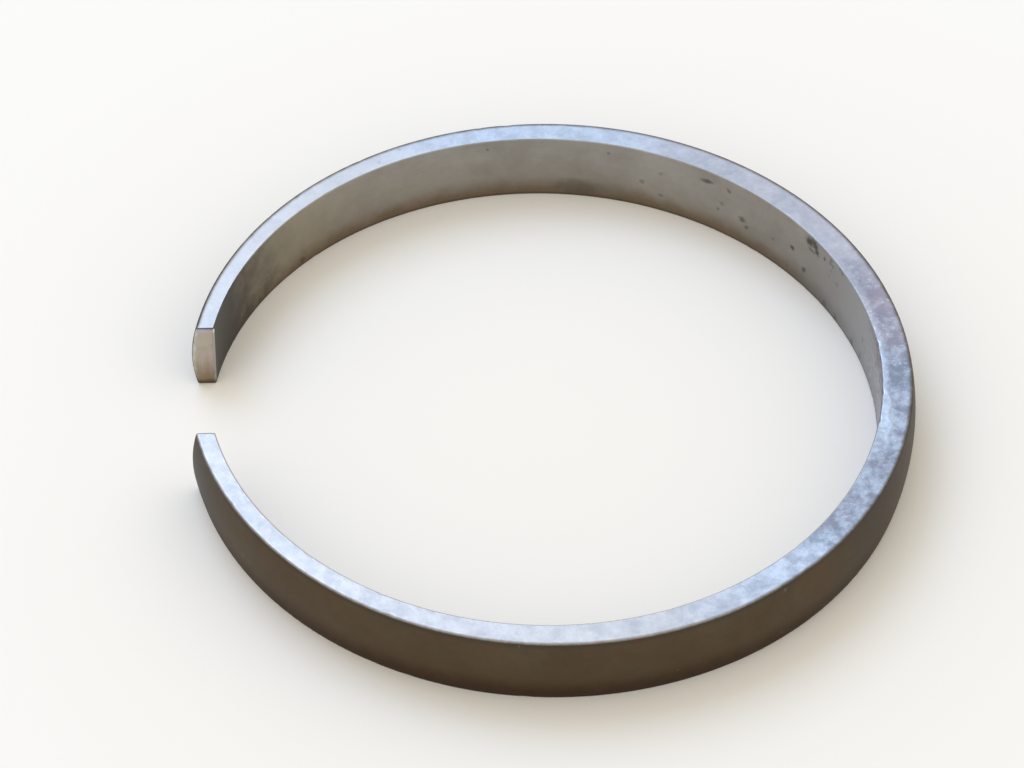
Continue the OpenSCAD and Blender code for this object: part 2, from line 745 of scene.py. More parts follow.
@dataclass(frozen=True)
class TurnedSteel(Finish):
    """Turned bore: warm dull steel with faint tool lines, painted shade on its lower part and dark stains.

    Opposite the split it is greyer, with painted shade on its lower part that is grey there and browner
    elsewhere, and a frosted, pitted stretch that is purple above. Towards the end at +Y it is olive, and at
    last darkened by painted shade.
    """

    name: str = "turned_bore"
    pale: Colour = (0.38, 0.357, 0.322)
    shade: Colour = (0.235, 0.216, 0.188)
    broad: Patches = Patches(11.0, 0.22, 0.55)
    blotch: Patches = Patches(2.2, 0.25, 0.25)
    line_pitch: float = 0.22
    line_weight: float = 0.25
    grey: Tint = Tint((0.315, 0.32, 0.34), 0.75)
    grey_within: Range = (26.0, 8.0)
    olive: Tint = Tint((0.366, 0.313, 0.205), 0.8)
    olive_past: Range = (68.0, 100.0)
    frosted: Tint = Tint((0.42, 0.42, 0.465), 0.6)
    pitted_at: float = -3.0
    pitted_reach: Range = (12.0, 4.0)
    pitted_sway: float = 5.0
    pits: Specks = Specks(0.5, 0.8, 2.6, 0.48)
    pit_patches: Patches = Patches(0.8, 0.13, 0.22)
    purple: Tint = Tint((0.20, 0.175, 0.20), 0.85)
    purple_above: Range = (4.0, 8.0)
    purple_sway: float = 3.0
    # Painted shade: the lower part is darker and browner, and greyer opposite the split.
    lower_shade: Colour = (0.182, 0.12, 0.064)
    lower_shade_below: Ramp = (-0.4, 2.4, 1.0, 0.0)
    lower_shade_sway: float = -1.2
    lower_shade_share: Range = (0.74, 0.12)
    grey_lower_shade: Colour = (0.09, 0.088, 0.086)
    grey_lower_shade_within: Range = (34.0, 12.0)
    # Painted shade: the bore grows almost black towards the end at +Y.
    end_shade: Tint = Tint((0.038, 0.032, 0.028), 0.97)
    end_shade_past: Range = (86.0, 103.0)
    end_shade_sway: float = 4.0
    stain: Tint = Tint((0.05, 0.045, 0.036), 0.85)
    stain_fade: Ramp = (0.3, 1.15, 1.0, 0.0)
    stain_pull: float = 0.7
    # Painted shade: a dark band along the bottom of the bore, in the stains' colour.
    contact_shade: Ramp = (0.1, 0.5, 0.55, 0.0)
    specks: Specks = Specks(2.8, 0.22, 1.0, 0.45)
    rubbed: Tint = Tint((0.46, 0.47, 0.49), 0.2)
    worn_mm: float = 0.16
    roughness: float = 0.42
    stain_roughness: float = 0.25
    grain_mm: float = 0.16
    relief: float = 0.5
    bump_mm: float = 0.008

    def make(self, effects: Effects) -> bpy.types.Material:
        """Builds the material.

        Args:
            effects: the shared effects.

        Returns:
            The material.
        """
        material, s, where = self.start(effects)
        around, up = where.around, where.up
        broad, blotch = map(where.patches, (self.broad, self.blotch))
        lines = where.lines(around, up, self.line_pitch)
        light = broad * self.broad.weight + blotch * self.blotch.weight + lines * self.line_weight
        colour = s.blend(light, self.shade, self.pale)
        far = abs(around).ramp(*self.grey_within)
        colour = s.lay(colour, far, self.grey)
        colour = s.lay(colour, around.ramp(*self.olive_past), self.olive)
        near = (around + blotch.sway(self.pitted_sway)).near(self.pitted_at, self.pitted_reach)
        colour = s.lay(colour, near, self.frosted)
        upper = (up + blotch.sway(self.purple_sway)).ramp(*self.purple_above)
        colour = s.lay(colour, near * upper, self.purple)
        # Painted shade on the lower part: browner, and greyer opposite the split.
        low = (up + blotch * self.lower_shade_sway).ramp(*self.lower_shade_below)
        lower_shade = s.blend(abs(around).ramp(*self.grey_lower_shade_within), self.lower_shade, self.grey_lower_shade)
        colour = s.blend(low * s.lerp(far, *self.lower_shade_share), colour, lower_shade)
        # Painted shade towards the end at +Y.
        dim = (around + blotch * self.end_shade_sway).ramp(*self.end_shade_past)
        colour = s.lay(colour, dim, self.end_shade)
        # Painted shade: dark along the bottom of the bore.
        colour = s.blend(up.ramp(*self.contact_shade), colour, self.stain.colour)
        coarse = where.patches(self.pit_patches) * self.pit_patches.weight
        pitted = where.specks(self.pits) * self.pits.weight + coarse
        specks = where.specks(self.specks) * self.specks.weight
        marks = self.stains(s, where) | specks | pitted * near
        colour = s.lay(colour, marks, self.stain)
        height = lines * self.relief + where.grain(self.grain_mm) * self.relief - marks
        inputs = {
            "Base Color": s.lay(colour, where.worn(self.worn_mm), self.rubbed),
            "Roughness": marks * self.stain_roughness + self.roughness,
            "Metallic": 1.0,
        }
        return self.close(material, height, inputs)

    def stains(self, s: Shader, where: Place) -> Field:
        """Lays the placed stains: an oval each, with a ragged rim.

        Args:
            s: the material's node helper.
            where: the place on the ring.

        Returns:
            The mask that joins them.
        """
        ragged = s.noise(where.point, scale=2.2, detail=4.0, roughness=0.5, key="Color")
        shift = s.vector("SUBTRACT", ragged, (MASK_MIDDLE, MASK_MIDDLE, MASK_MIDDLE))
        shift = s.vector("MULTIPLY", shift, (self.stain_pull, self.stain_pull, 0.0))
        flat = s.vector("ADD", s.combine(where.around, where.up), shift)
        spots = []
        for item in BORE_STAINS:
            laid = {
                "Vector": flat,
                "Location": (item.around, item.up, 0.0),
                "Rotation": (0.0, 0.0, math.radians(item.turn)),
                "Scale": (item.long, item.wide, 1.0),
            }
            oval = s.vector("LENGTH", s.output("ShaderNodeMapping", laid, vector_type="TEXTURE"))
            spots.append(oval.ramp(*self.stain_fade) * item.depth)
        return reduce(or_, spots)


@dataclass(frozen=True)
class SprayedCoat(Finish):
    """Crowned friction face: a dark matte sprayed coat, ground round the ring.

    It has russet patches, rust spots and pale flecks, a dark foot of painted shade, sooty stretches opposite
    the split and at both ends, and a dark line of painted shade along its edge.
    """

    name: str = "sprayed_friction_face"
    pale: Colour = (0.116, 0.088, 0.053)
    shade: Colour = (0.065, 0.0455, 0.024)
    broad: Patches = Patches(9.0, 0.22, 0.4)
    blotch: Patches = Patches(1.8, 0.25, 0.25)
    line_pitch: float = 0.18
    grain_mm: float = 0.14
    fine_weight: float = 0.2
    russet: Tint = Tint((0.103, 0.062, 0.034), 0.45)
    russet_patches: Patches = Patches(6.0, 0.15)
    rust: Tint = Tint((0.13, 0.055, 0.022), 0.4)
    rust_spots: Specks = Specks(3.2, 0.3, 1.6)
    # Painted shade: the coat darkens towards its foot.
    foot: Colour = (0.043, 0.0155, 0.002)
    foot_below: Ramp = (0.0, 3.4, 0.8, 0.0)
    foot_sway: float = -0.8
    sooty: Colour = (0.042, 0.04, 0.038)
    sooty_at: float = -12.0
    sooty_reach: Ramp = (20.0, 8.0, 0.0, 0.4)
    sooty_past: Ramp = (94.0, 104.0, 0.0, 0.6)
    # Painted shade: a dark line just past the coat's edges, in the sooty colour.
    line_from: Range = (0.1, 0.25)
    line_to: Ramp = (0.8, 0.4, 0.0, 0.35)
    fleck: Tint = Tint((0.34, 0.31, 0.26), 0.2)
    flecks: Specks = Specks(1.8, 0.25, 0.8)
    reach_mm: Range = (-0.3, 0.28)
    uneven_mm: float = 0.25
    lapped: Ramp = (6.0, 18.0, 0.0, 0.1)
    bared: Ramp = (-32.0, -42.0, 0.0, -0.2)
    roughness: Range = (0.49, 0.61)
    metallic: float = 0.75
    specular: float = 0.3
    line_relief: float = 0.5
    bump_mm: float = 0.012

    def layer(self, effects: Effects) -> NodeTree:
        """Builds the coat as a shared effect, which covers past an uneven line along the outer edge.

        Args:
            effects: the other shared effects.

        Returns:
            The group, with the outputs Colour, Roughness, Height and Cover.
        """
        values = dict.fromkeys(("Roughness", "Height", "Cover"), Kind.VALUE)
        made = Effect("sprayed coat", {}, {"Colour": Kind.COLOUR, **values})
        s = made.shader
        where = Place(s, effects)
        around, up = where.around, where.up
        broad, blotch = map(where.patches, (self.broad, self.blotch))
        lines = where.lines(around, up, self.line_pitch)
        grain = where.grain(self.grain_mm)
        light = broad * self.broad.weight + blotch * self.blotch.weight + (lines + grain) * self.fine_weight
        uneven = s.noise(where.point, scale=1.1, detail=4.0, roughness=0.65).sway(self.uneven_mm)
        past = where.past_edge() + uneven + (around.ramp(*self.lapped) + around.ramp(*self.bared))
        colour = s.blend(light, self.shade, self.pale)
        colour = s.lay(colour, where.patches(self.russet_patches), self.russet)
        colour = s.lay(colour, where.specks(self.rust_spots), self.rust)
        # Painted shade: darker towards the foot.
        low = up + blotch * self.foot_sway
        colour = s.blend(low.ramp(*self.foot_below), colour, self.foot)
        sooted = abs(around).ramp(*self.sooty_past) | around.near(self.sooty_at, self.sooty_reach)
        # Painted shade: a dark line just past the coat's edges.
        line = past.ramp(*self.line_from) * past.ramp(*self.line_to)
        colour = s.blend(sooted | line, colour, self.sooty)
        return made.close(
            Colour=s.lay(colour, where.specks(self.flecks), self.fleck),
            Roughness=s.lerp(grain, *self.roughness),
            Height=grain + lines * self.line_relief,
            Cover=past.ramp(*self.reach_mm),
        )

    def make(self, effects: Effects) -> bpy.types.Material:
        """Builds the material.

        Args:
            effects: the shared effects.

        Returns:
            The material.
        """
        material, s = new_material(self.name)
        coat = s.effect(effects.coat)
        inputs = {
            "Base Color": coat["Colour"],
            "Roughness": coat["Roughness"],
            "Metallic": self.metallic,
            "Specular IOR Level": self.specular,
        }
        return self.close(material, coat["Height"], inputs)


@dataclass(frozen=True)
class CutSteel(Finish):
    """Cut ends: tan steel with upright strokes, a frosted band at the top, pale rims of painted reflection,
    and a foot browned and darkened by painted shade.

    The height is the ring's, and bore_at is the X of the bore at the ends.
    """

    height: float
    bore_at: float
    name: str = "cut_ends"
    pale: Colour = (0.57, 0.505, 0.43)
    shade: Colour = (0.385, 0.33, 0.27)
    blotch: Patches = Patches(1.6, 0.22, 0.5)
    line_pitch: float = 0.12
    line_weight: float = 0.45
    rosy: Tint = Tint((0.48, 0.385, 0.345), 0.6)
    rosy_patches: Patches = Patches(2.4, 0.15)
    olive: Colour = (0.47, 0.44, 0.355)
    olive_above: Ramp = (-0.3, 0.5, 0.0, 0.6)
    # Painted shade: the lower part of the ends is browner.
    brown: Tint = Tint((0.23, 0.17, 0.09), 0.85)
    brown_below: Ramp = (-2.4, 2.6, 1.0, 0.0)
    brown_sway: float = -1.0
    streak_pitch: float = 0.5
    streak_sway: float = -4.0
    # Painted reflections: a grey strip along the bore's edge and a pale one along the outer edge of the ends.
    rim_sway: float = 0.3
    bore_rim: Colour = (0.42, 0.43, 0.43)
    bore_rim_from: Range = (-0.25, 0.1)
    bore_rim_under_top: Ramp = (1.5, 3.5, 0.1, 0.8)
    rim: Colour = (0.64, 0.64, 0.60)
    rim_past: Range = (-0.5, -0.15)
    rim_above: Ramp = (0.6, 3.4, 0.1, 0.8)
    # Painted shade: a dark foot.
    foot: Colour = (0.10, 0.08, 0.035)
    foot_below: Ramp = (0.1, 0.7, 0.85, 0.0)
    foot_sway: float = -0.3
    frosted: Colour = (0.51, 0.475, 0.52)
    frosted_under_top: Ramp = (0.6, 0.4, 0.0, 0.8)
    glint: Colour = (0.92, 0.92, 0.93)
    glints: Specks = Specks(0.5, 0.9, 2.6)
    glints_under_top: Ramp = (1.3, 0.6, 0.0, 0.9)
    grime: Colour = (0.09, 0.085, 0.095)
    grime_under_top: Range = (0.12, 0.04)
    coat_past: Range = (-0.13, -0.06)
    coat_sway: float = 0.05
    roughness: float = 0.45
    glint_roughness: float = 0.3
    bump_mm: float = 0.01

    def make(self, effects: Effects) -> bpy.types.Material:
        """Builds the material.

        Args:
            effects: the shared effects.

        Returns:
            The material.
        """
        material, s, where = self.start(effects)
        up, past = where.up, where.past_edge()
        across = s.split(where.point)[0]
        blotch, tint = map(where.patches, (self.blotch, self.rosy_patches))
        lines, streaks = (where.lines(up, across, pitch) for pitch in (self.line_pitch, self.streak_pitch))
        colour = s.blend(blotch * self.blotch.weight + lines * self.line_weight, self.shade, self.pale)
        colour = s.lay(colour, tint, self.rosy)
        colour = s.blend((blotch - tint).ramp(*self.olive_above), colour, self.olive)
        # Painted shade: browner towards the bottom.
        low = up + (blotch * self.brown_sway + streaks * self.streak_sway)
        colour = s.lay(colour, low.ramp(*self.brown_below), self.brown)
        # Painted reflections along the rounded edges at the bore and at the outside.
        swing = blotch.sway(self.rim_sway)
        inner = (across + swing).ramp(*(self.bore_at + reach for reach in self.bore_rim_from))
        colour = s.blend(inner * self.under_top(up, *self.bore_rim_under_top), colour, self.bore_rim)
        outer = (past - swing).ramp(*self.rim_past) * up.ramp(*self.rim_above)
        colour = s.blend(outer, colour, self.rim)
        # Painted shade: darker at the foot.
        colour = s.blend((up + blotch * self.foot_sway).ramp(*self.foot_below), colour, self.foot)
        colour = s.blend(self.under_top(up, *self.frosted_under_top), colour, self.frosted)
        sparkle = where.specks(self.glints) * self.under_top(up, *self.glints_under_top)
        colour = s.blend(sparkle, colour, self.glint)
        colour = s.blend(self.under_top(up, *self.grime_under_top), colour, self.grime)
        coated = (past + blotch.sway(self.coat_sway)).ramp(*self.coat_past)
        inputs = {
            "Base Color": s.blend(coated, colour, s.effect(effects.coat)["Colour"]),
            "Roughness": s.lerp(sparkle, self.roughness, self.glint_roughness),
            "Metallic": 1.0,
        }
        return self.close(material, lines, inputs)

    def under_top(self, up: Field, low: float, high: float, *results: float) -> Field:
        """Eases the height by a range or a ramp that is counted down from the upper face."""
        return up.ramp(self.height - low, self.height - high, *results)


def eased(steps: int, bias: float) -> np.ndarray:
    """Spaces points from 0 to 1 that crowd towards both ends.

    The place of each is u less bias times the sine of a full turn of u, over a full turn.

    Args:
        steps: number of gaps between the points.
        bias: how far they crowd, from 0 to under 1.

    Returns:
        The steps + 1 places.
    """
    u = np.linspace(0.0, 1.0, steps + 1)
    return u - bias * np.sin(2 * np.pi * u) / (2 * np.pi)


def quads(grid: np.ndarray) -> np.ndarray:
    """Faces of four corners between neighbouring rows and columns of vertex numbers."""
    return np.stack([grid[:-1, :-1], grid[1:, :-1], grid[1:, 1:], grid[:-1, 1:]], axis=-1).reshape(-1, 4)


def new_object(name: str, data: bpy.types.ID) -> bpy.types.Object:
    """Makes an object and puts it into the scene.

    Args:
        name: the object's name.
        data: its mesh, light or camera.

    Returns:
        The object.
    """
    made = bpy.data.objects.new(name, data)
    bpy.context.scene.collection.objects.link(made)
    return made


@dataclass(frozen=True)
class Points:
    """Points of the ring, in arrays of one shape: distance from its axis, direction and height."""

    radius: np.ndarray
    angle: np.ndarray
    up: np.ndarray

    @classmethod
    def at(cls, places: np.ndarray) -> "Points":
        """Takes the points from their places."""
        x, y, up = np.moveaxis(places, -1, 0)
        return cls(np.hypot(x, y), np.arctan2(y, x), up)

    def places(self) -> np.ndarray:
        """Places of the points: the radius, turned into its direction, and the height."""
        x, y = self.radius * np.cos(self.angle), self.radius * np.sin(self.angle)
        return np.stack([x, y, self.up], axis=-1)


@dataclass(frozen=True)
class Skin:
    """A closed surface, in metres, whose faces have four corners, with values on its vertices.

    Each face has a zone, and each corner of a face a place on a flat map.
    """

    vertices: np.ndarray
    attributes: dict[str, np.ndarray]
    faces: np.ndarray
    zones: np.ndarray
    flat: np.ndarray


@dataclass
class SplitRing:
    """The ring: one open band with a crowned outside and an off-centre bore. Sizes are in millimetres."""

    crest_r: float
    height: float
    wall_back: float = 3.7
    wall_split: float = 2.4
    crown_drop: float = 0.5
    split_w: float = 14.9
    outer_round: float = 0.27
    bore_round: float = 0.13
    end_round: float = 0.2
    spring_in: float = 0.16
    spring_from: float = 2.2
    edge_steps: int = 5
    wall_steps: int = 24
    wall_crowding: float = 0.9
    face_steps: int = 11
    face_crowding: float = 0.85
    end_steps: int = 5
    around_steps: int = 1050
    around_from: Range = (0.9996, 0.9985)
    place_passes: int = 5
    nicks: int = 46
    nick_span: Range = (-2.85, 2.85)
    nick_width: Range = (0.15, 0.5)
    nick_depth: Range = (0.015, 0.07)
    nick_reach: float = 0.16
    nick_on_round: float = 0.7
    burrs: int = 16
    burr_span: Range = (-0.26, 0.14)
    burr_width: Range = (0.2, 0.35)
    burr_depth: Range = (0.02, 0.055)
    nick_seed: int = 11
    map_rows: int = 3
    map_gap: float = 0.6
    name: str = "synchronizer_ring_dressed"
    node: str = "synchronizer_ring"
    slot: str = "ring_steel"

    @classmethod
    def from_frame(cls) -> "SplitRing":
        """Takes the crest's radius and the height from the solid in the frame and returns the ring."""
        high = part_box(cls.node)[1]
        return cls(crest_r=high[0] / MM, height=high[2] / MM)

    def __post_init__(self) -> None:
        """Works out the sizes that follow from the given ones."""
        self.half_h = self.height / 2
        self.half_split = self.split_w / 2
        self.bore_r = self.crest_r - (self.wall_back + self.wall_split) / 2
        self.bore_x = -(self.wall_back - self.wall_split) / 2
        self.crown_r = (self.half_h**2 + self.crown_drop**2) / (2 * self.crown_drop)
        self.crown_x = self.crest_r - self.crown_r
        self.round_z = self.half_h - self.outer_round
        self.round_x = self.crown_x + math.sqrt((self.crown_r - self.outer_round) ** 2 - self.round_z**2)
        self.round_a = math.atan2(self.round_z, self.round_x - self.crown_x)
        self.rows = 2 * self.edge_steps + self.wall_steps + 1
        self.columns = self.face_steps + 1
        self.wall_shares = eased(self.wall_steps, self.wall_crowding)[1:-1]
        self.face_shares = eased(self.face_steps, self.face_crowding)

    def bore_side(self, inset: np.ndarray) -> Side:
        """Bore side of the section, from the lower to the upper face.

        A quarter round, the straight wall and a quarter round, all drawn in by the inset.

        Args:
            inset: how far each station's section is drawn in.

        Returns:
            Distance outwards from the bore and height, for each station and row.
        """
        b = self.bore_round
        radius = b - inset[:, None]
        turn = np.linspace(0.0, np.pi / 2, self.edge_steps + 1)
        low_out = b - radius * np.sin(turn)
        low_up = b - radius * np.cos(turn)
        wall_up = b + (self.height - 2 * b) * self.wall_shares
        wall_up = np.broadcast_to(wall_up, (len(inset), wall_up.size))
        wall_out = np.broadcast_to(inset[:, None], wall_up.shape)
        out = np.concatenate([low_out, wall_out, low_out[:, ::-1]], axis=1)
        up = np.concatenate([low_up, wall_up, self.height - low_up[:, ::-1]], axis=1)
        return out, up

    def outer_side(self, inset: np.ndarray) -> Side:
        """Outer side of the section, from the lower to the upper face.

        An edge round, the arc of the crown and an edge round, all drawn in by the inset.

        Args:
            inset: how far each station's section is drawn in.

        Returns:
            Radius from the ring's axis and height, for each station and row.
        """
        edge = (self.outer_round - inset)[:, None]
        arc = (self.crown_r - inset)[:, None]
        low = np.linspace(-np.pi / 2, -self.round_a, self.edge_steps + 1)
        crown = self.round_a * (2 * self.wall_shares - 1)
        low_out = self.round_x + edge * np.cos(low)
        low_up = self.half_h - self.round_z + edge * np.sin(low)
        crown_out = self.crown_x + arc * np.cos(crown)
        crown_up = self.half_h + arc * np.sin(crown)
        out = np.concatenate([low_out, crown_out, low_out[:, ::-1]], axis=1)
        up = np.concatenate([low_up, crown_up, self.height - low_up[:, ::-1]], axis=1)
        return out, up

    def stations(self) -> tuple[np.ndarray, np.ndarray, np.ndarray]:
        """Stations of the section along the ring, from the end at +Y to the end at -Y.

        Those of an end's rounded edge lie on planes parallel to the end; the others share the turn
        between the two ends evenly.

        Returns:
            Share of the turn from -1 to 1, distance from the end's plane, and inset of the section.
        """
        turn = np.linspace(0.0, np.pi / 2, self.end_steps + 1)
        depth = self.end_round * (1 - np.cos(turn))
        inset = self.end_round * (1 - np.sin(turn))
        first, second = self.around_from
        between = np.r_[first, np.linspace(second, -second, self.around_steps), -first]
        whole = np.ones_like(turn)
        share = np.r_[whole, between, -whole]
        depth = np.r_[depth, np.full_like(between, self.end_round), depth[::-1]]
        inset = np.r_[inset, np.zeros_like(between), inset[::-1]]
        return share, depth, inset

    def bore_radius(self, angle: np.ndarray) -> np.ndarray:
        """Distance from the ring's axis to the off-centre bore: the far root of its circle."""
        return self.bore_x * np.cos(angle) + np.sqrt(self.bore_r**2 - (self.bore_x * np.sin(angle)) ** 2)

    def spring(self, angle: np.ndarray) -> np.ndarray:
        """How far the free ends stand in: the square of the share of the angle past the spring's start."""
        past = (np.abs(angle) - self.spring_from).clip(0.0) / (np.pi - self.spring_from)
        return self.spring_in * past**2

    def place(self, weight: np.ndarray, bore: Side, outer: Side) -> Points:
        """Carries the section along the ring.

        A point's radius lies between the bore side and the outer side by its weight. Its angle is
        the share of the turn, times half a turn less the angle at which the end's plane cuts that
        radius. Radius and angle depend on each other a little, so they are found in a few passes.

        Args:
            weight: nought at the bore and one at the outside, for each point of the section.
            bore: distance out from the bore and height, for each station and point.
            outer: radius and height on the outer side, for each station and point.

        Returns:
            The points, for each station and point of the section.
        """
        share, depth, _ = self.stations()
        plane = (self.half_split + depth)[:, None]
        radius = np.full_like(bore[0], self.bore_r)
        for _ in range(self.place_passes):
            angle = share[:, None] * (np.pi - np.arcsin(plane / radius))
            radius = (1 - weight) * (self.bore_radius(angle) + bore[0]) + weight * outer[0]
            radius -= self.spring(angle)
        return Points(radius, angle, (1 - weight) * bore[1] + weight * outer[1])

    def loop(self) -> Side:
        """Row and column of each point of the section's outline.

        It runs up the bore, outwards, down the outside and back.

        Returns:
            The rows and the columns.
        """
        top, last = self.rows - 1, self.columns - 1
        rise = np.arange(self.rows)
        run = np.arange(1, last)
        row = np.r_[rise, np.full_like(run, top), rise[::-1], np.zeros_like(run)]
        column = np.r_[np.zeros_like(rise), run, np.full_like(rise, last), run[::-1]]
        return row, column

    def under_crown(self, at: Points) -> np.ndarray:
        """Depth of points under the crown: the radius of its arc at their height, less their own."""
        crown = self.crown_x + np.sqrt(self.crown_r**2 - (at.up - self.half_h) ** 2)
        return crown - at.radius - self.spring(at.angle)

    def edge_distance(self, at: Points) -> np.ndarray:
        """Distance to the nearest edge, in millimetres.

        A point of the surface lies on one of three kinds of face, so of its distances to the side
        faces, to the walls and to the ends, the middle one is that to the nearest edge.

        Args:
            at: points of the surface.

        Returns:
            The distance for each point.
        """
        from_bore = at.radius + self.spring(at.angle) - self.bore_radius(at.angle)
        across = np.minimum(from_bore, self.under_crown(at))
        along = at.radius * (np.pi - np.arcsin(self.half_split / at.radius) - np.abs(at.angle))
        upright = np.minimum(at.up, self.height - at.up)
        return np.sort(np.stack([upright, across, along]), axis=0)[1].clip(0.0)

    def nick(self, at: Points) -> Points:
        """Presses small nicks into the four long edges.

        Each is a bell-shaped dent along the edge that fades with the distance from it, pushed
        towards the middle of the section. Some more crowd one stretch of the bore's upper edge.

        Args:
            at: the points, for each station and point of the section.

        Returns:
            The points after that.
        """
        draw = np.random.default_rng(self.nick_seed)
        ranges = (
            (self.nick_span, self.burr_span),
            (self.nick_width, self.burr_width),
            (self.nick_depth, self.burr_depth),
        )
        centre, width, depth = (
            np.r_[draw.uniform(*nick, self.nicks), draw.uniform(*burr, self.burrs)] for nick, burr in ranges
        )
        corners = (Corner(0), Corner.OUTSIDE, Corner.ABOVE, Corner.OUTSIDE | Corner.ABOVE)
        edge = np.r_[draw.integers(0, len(corners), self.nicks), np.full(self.burrs, int(Corner.ABOVE))]
        radius, up = at.radius, at.up
        inner = self.bore_radius(at.angle)
        middle = (inner + self.crest_r) / 2
        for corner in corners:
            at_r = self.round_x + self.outer_round * self.nick_on_round if corner & Corner.OUTSIDE else inner
            at_z = self.height if corner & Corner.ABOVE else 0.0
            near = np.exp(-((radius - at_r) ** 2 + (up - at_z) ** 2) / self.nick_reach**2)
            mine = edge == corner
            run = (at.angle[:, :, None] - centre[mine]) * self.bore_r / width[mine]
            press = (depth[mine] * np.exp(-(run**2))).sum(axis=2) * near
            radius = radius + np.sign(middle - at_r) * press
            up = up + (-press if corner & Corner.ABOVE else press)
        return Points(radius, at.angle, up)

    def flat_places(self, band: np.ndarray) -> np.ndarray:
        """Lays every face out flat at one scale, for the bake.

        The band is cut into lengths that lie in rows. Along a row a place is the way walked around
        the ring, and up it the way walked around the section. The two ends lie in a last row by
        their width and height.

        Args:
            band: place of each station and point of the band, in millimetres.

        Returns:
            Two places from 0 to 1 for each corner of each face.
        """
        strips, gap = len(band) - 1, self.map_gap
        # The point of the outline that is halfway down the outside.
        crest = self.rows + self.columns - 2 + self.rows // 2
        closed = np.concatenate([band, band[:, :1]], axis=1)
        along = np.r_[0.0, np.linalg.norm(np.diff(band[:, crest], axis=0), axis=1).cumsum()]
        about = np.r_[0.0, np.linalg.norm(np.diff(closed, axis=1), axis=2).mean(axis=0).cumsum()]
        i, j = np.meshgrid(np.arange(strips), np.arange(about.size - 1), indexing="ij")
        part = i * self.map_rows // strips
        start = along[-(-np.arange(self.map_rows) * strips // self.map_rows)][part]
        u = along[np.stack([i, i + 1, i + 1, i], axis=-1)] - start[..., None]
        v = about[np.stack([j, j, j + 1, j + 1], axis=-1)] + part[..., None] * (about[-1] + gap)
        flat = [np.stack([u, v], axis=-1).reshape(-1, 2)]
        width = self.face_shares * self.wall_split
        base = self.map_rows * (about[-1] + gap)
        r, c = np.meshgrid(np.arange(self.rows - 1), np.arange(self.columns - 1), indexing="ij")
        v = band[0, np.stack([r, r, r + 1, r + 1], axis=-1), 2] + base
        u = width[np.stack([c, c + 1, c + 1, c], axis=-1)]
        flat.append(np.stack([u, v], axis=-1).reshape(-1, 2))
        flat.append(np.stack([2 * width[-1] + gap - u, v], axis=-1)[:, :, ::-1].reshape(-1, 2))
        flat = np.concatenate(flat) + gap / 2
        return flat / (flat.max() + gap / 2)

    def end_grid(self, rim: np.ndarray) -> np.ndarray:
        """Fills an end with a grid that runs straight from the bore side to the outer side.

        Args:
            rim: place of each point of the section's outline there.

        Returns:
            Place of each row and column inside the outline.
        """
        bore = rim[: self.rows]
        outer = rim[self.rows + self.columns - 2 :][: self.rows][::-1]
        share = self.face_shares[None, 1:-1, None]
        return (1 - share) * bore[1:-1, None] + share * outer[1:-1, None]

    def surface(self) -> Skin:
        """Works out the whole closed surface.

        The outline of the section is carried along the ring, and each end is closed by a grid.

        Returns:
            The surface.
        """
        _, _, inset = self.stations()
        row, column = self.loop()
        bore = [side[:, row] for side in self.bore_side(inset)]
        outer = [side[:, row] for side in self.outer_side(inset)]
        at = self.place(self.face_shares[column], bore, outer)
        band = self.nick(at).places()
        ids = np.arange(at.up.size).reshape(at.up.shape)
        zone = np.tile(self.zones(row, column), (len(ids) - 1, 1))
        zone[: self.end_steps] = Zone.CUT_END
        zone[-self.end_steps :] = Zone.CUT_END
        faces, zones = [quads(np.c_[ids, ids[:, :1]])], [zone.ravel()]
        vertices, count = [band.reshape(-1, 3)], ids.size
        edges, wraps = [self.edge_distance(at).ravel()], [self.past_outer_edge(at, row, column).ravel()]
        # The ends look opposite ways, so their corners run opposite ways.
        for station, corners in ((0, [0, 3, 2, 1]), (-1, [1, 2, 3, 0])):
            filled = self.end_grid(band[station])
            inside = Points.at(filled)
            grid = np.zeros((self.rows, self.columns), int)
            grid[row, column] = ids[station]
            grid[1:-1, 1:-1] = count + np.arange(inside.up.size).reshape(inside.up.shape)
            count += inside.up.size
            vertices.append(filled.reshape(-1, 3))
            edges.append(self.edge_distance(inside).ravel())
            wraps.append(-self.under_crown(inside).ravel())
            faces.append(quads(grid)[:, corners])
            zones.append(np.full(len(faces[-1]), Zone.CUT_END))
        attributes = {EDGE_ATTRIBUTE: np.concatenate(edges), WRAP_ATTRIBUTE: np.concatenate(wraps)}
        faces, zones = np.concatenate(faces), np.concatenate(zones)
        return Skin(np.concatenate(vertices) * MM, attributes, faces, zones, self.flat_places(band))

    def zones(self, row: np.ndarray, column: np.ndarray) -> np.ndarray:
        """Finish of each strip of the outline, from a point to the next one.

        Args:
            row: row of each point.
            column: column of each point.

        Returns:
            The zone of each strip. The outer edge rounds belong to the side faces.
        """
        following = np.roll(column, -1)
        lower = np.minimum(row, np.roll(row, -1))
        wall = (lower >= self.edge_steps) & (lower < self.edge_steps + self.wall_steps)
        zone = np.full(row.size, Zone.SIDE_FACE)
        zone[(column == 0) & (following == 0)] = Zone.BORE
        zone[wall & (column == self.columns - 1) & (following == self.columns - 1)] = Zone.FRICTION_FACE
        return zone

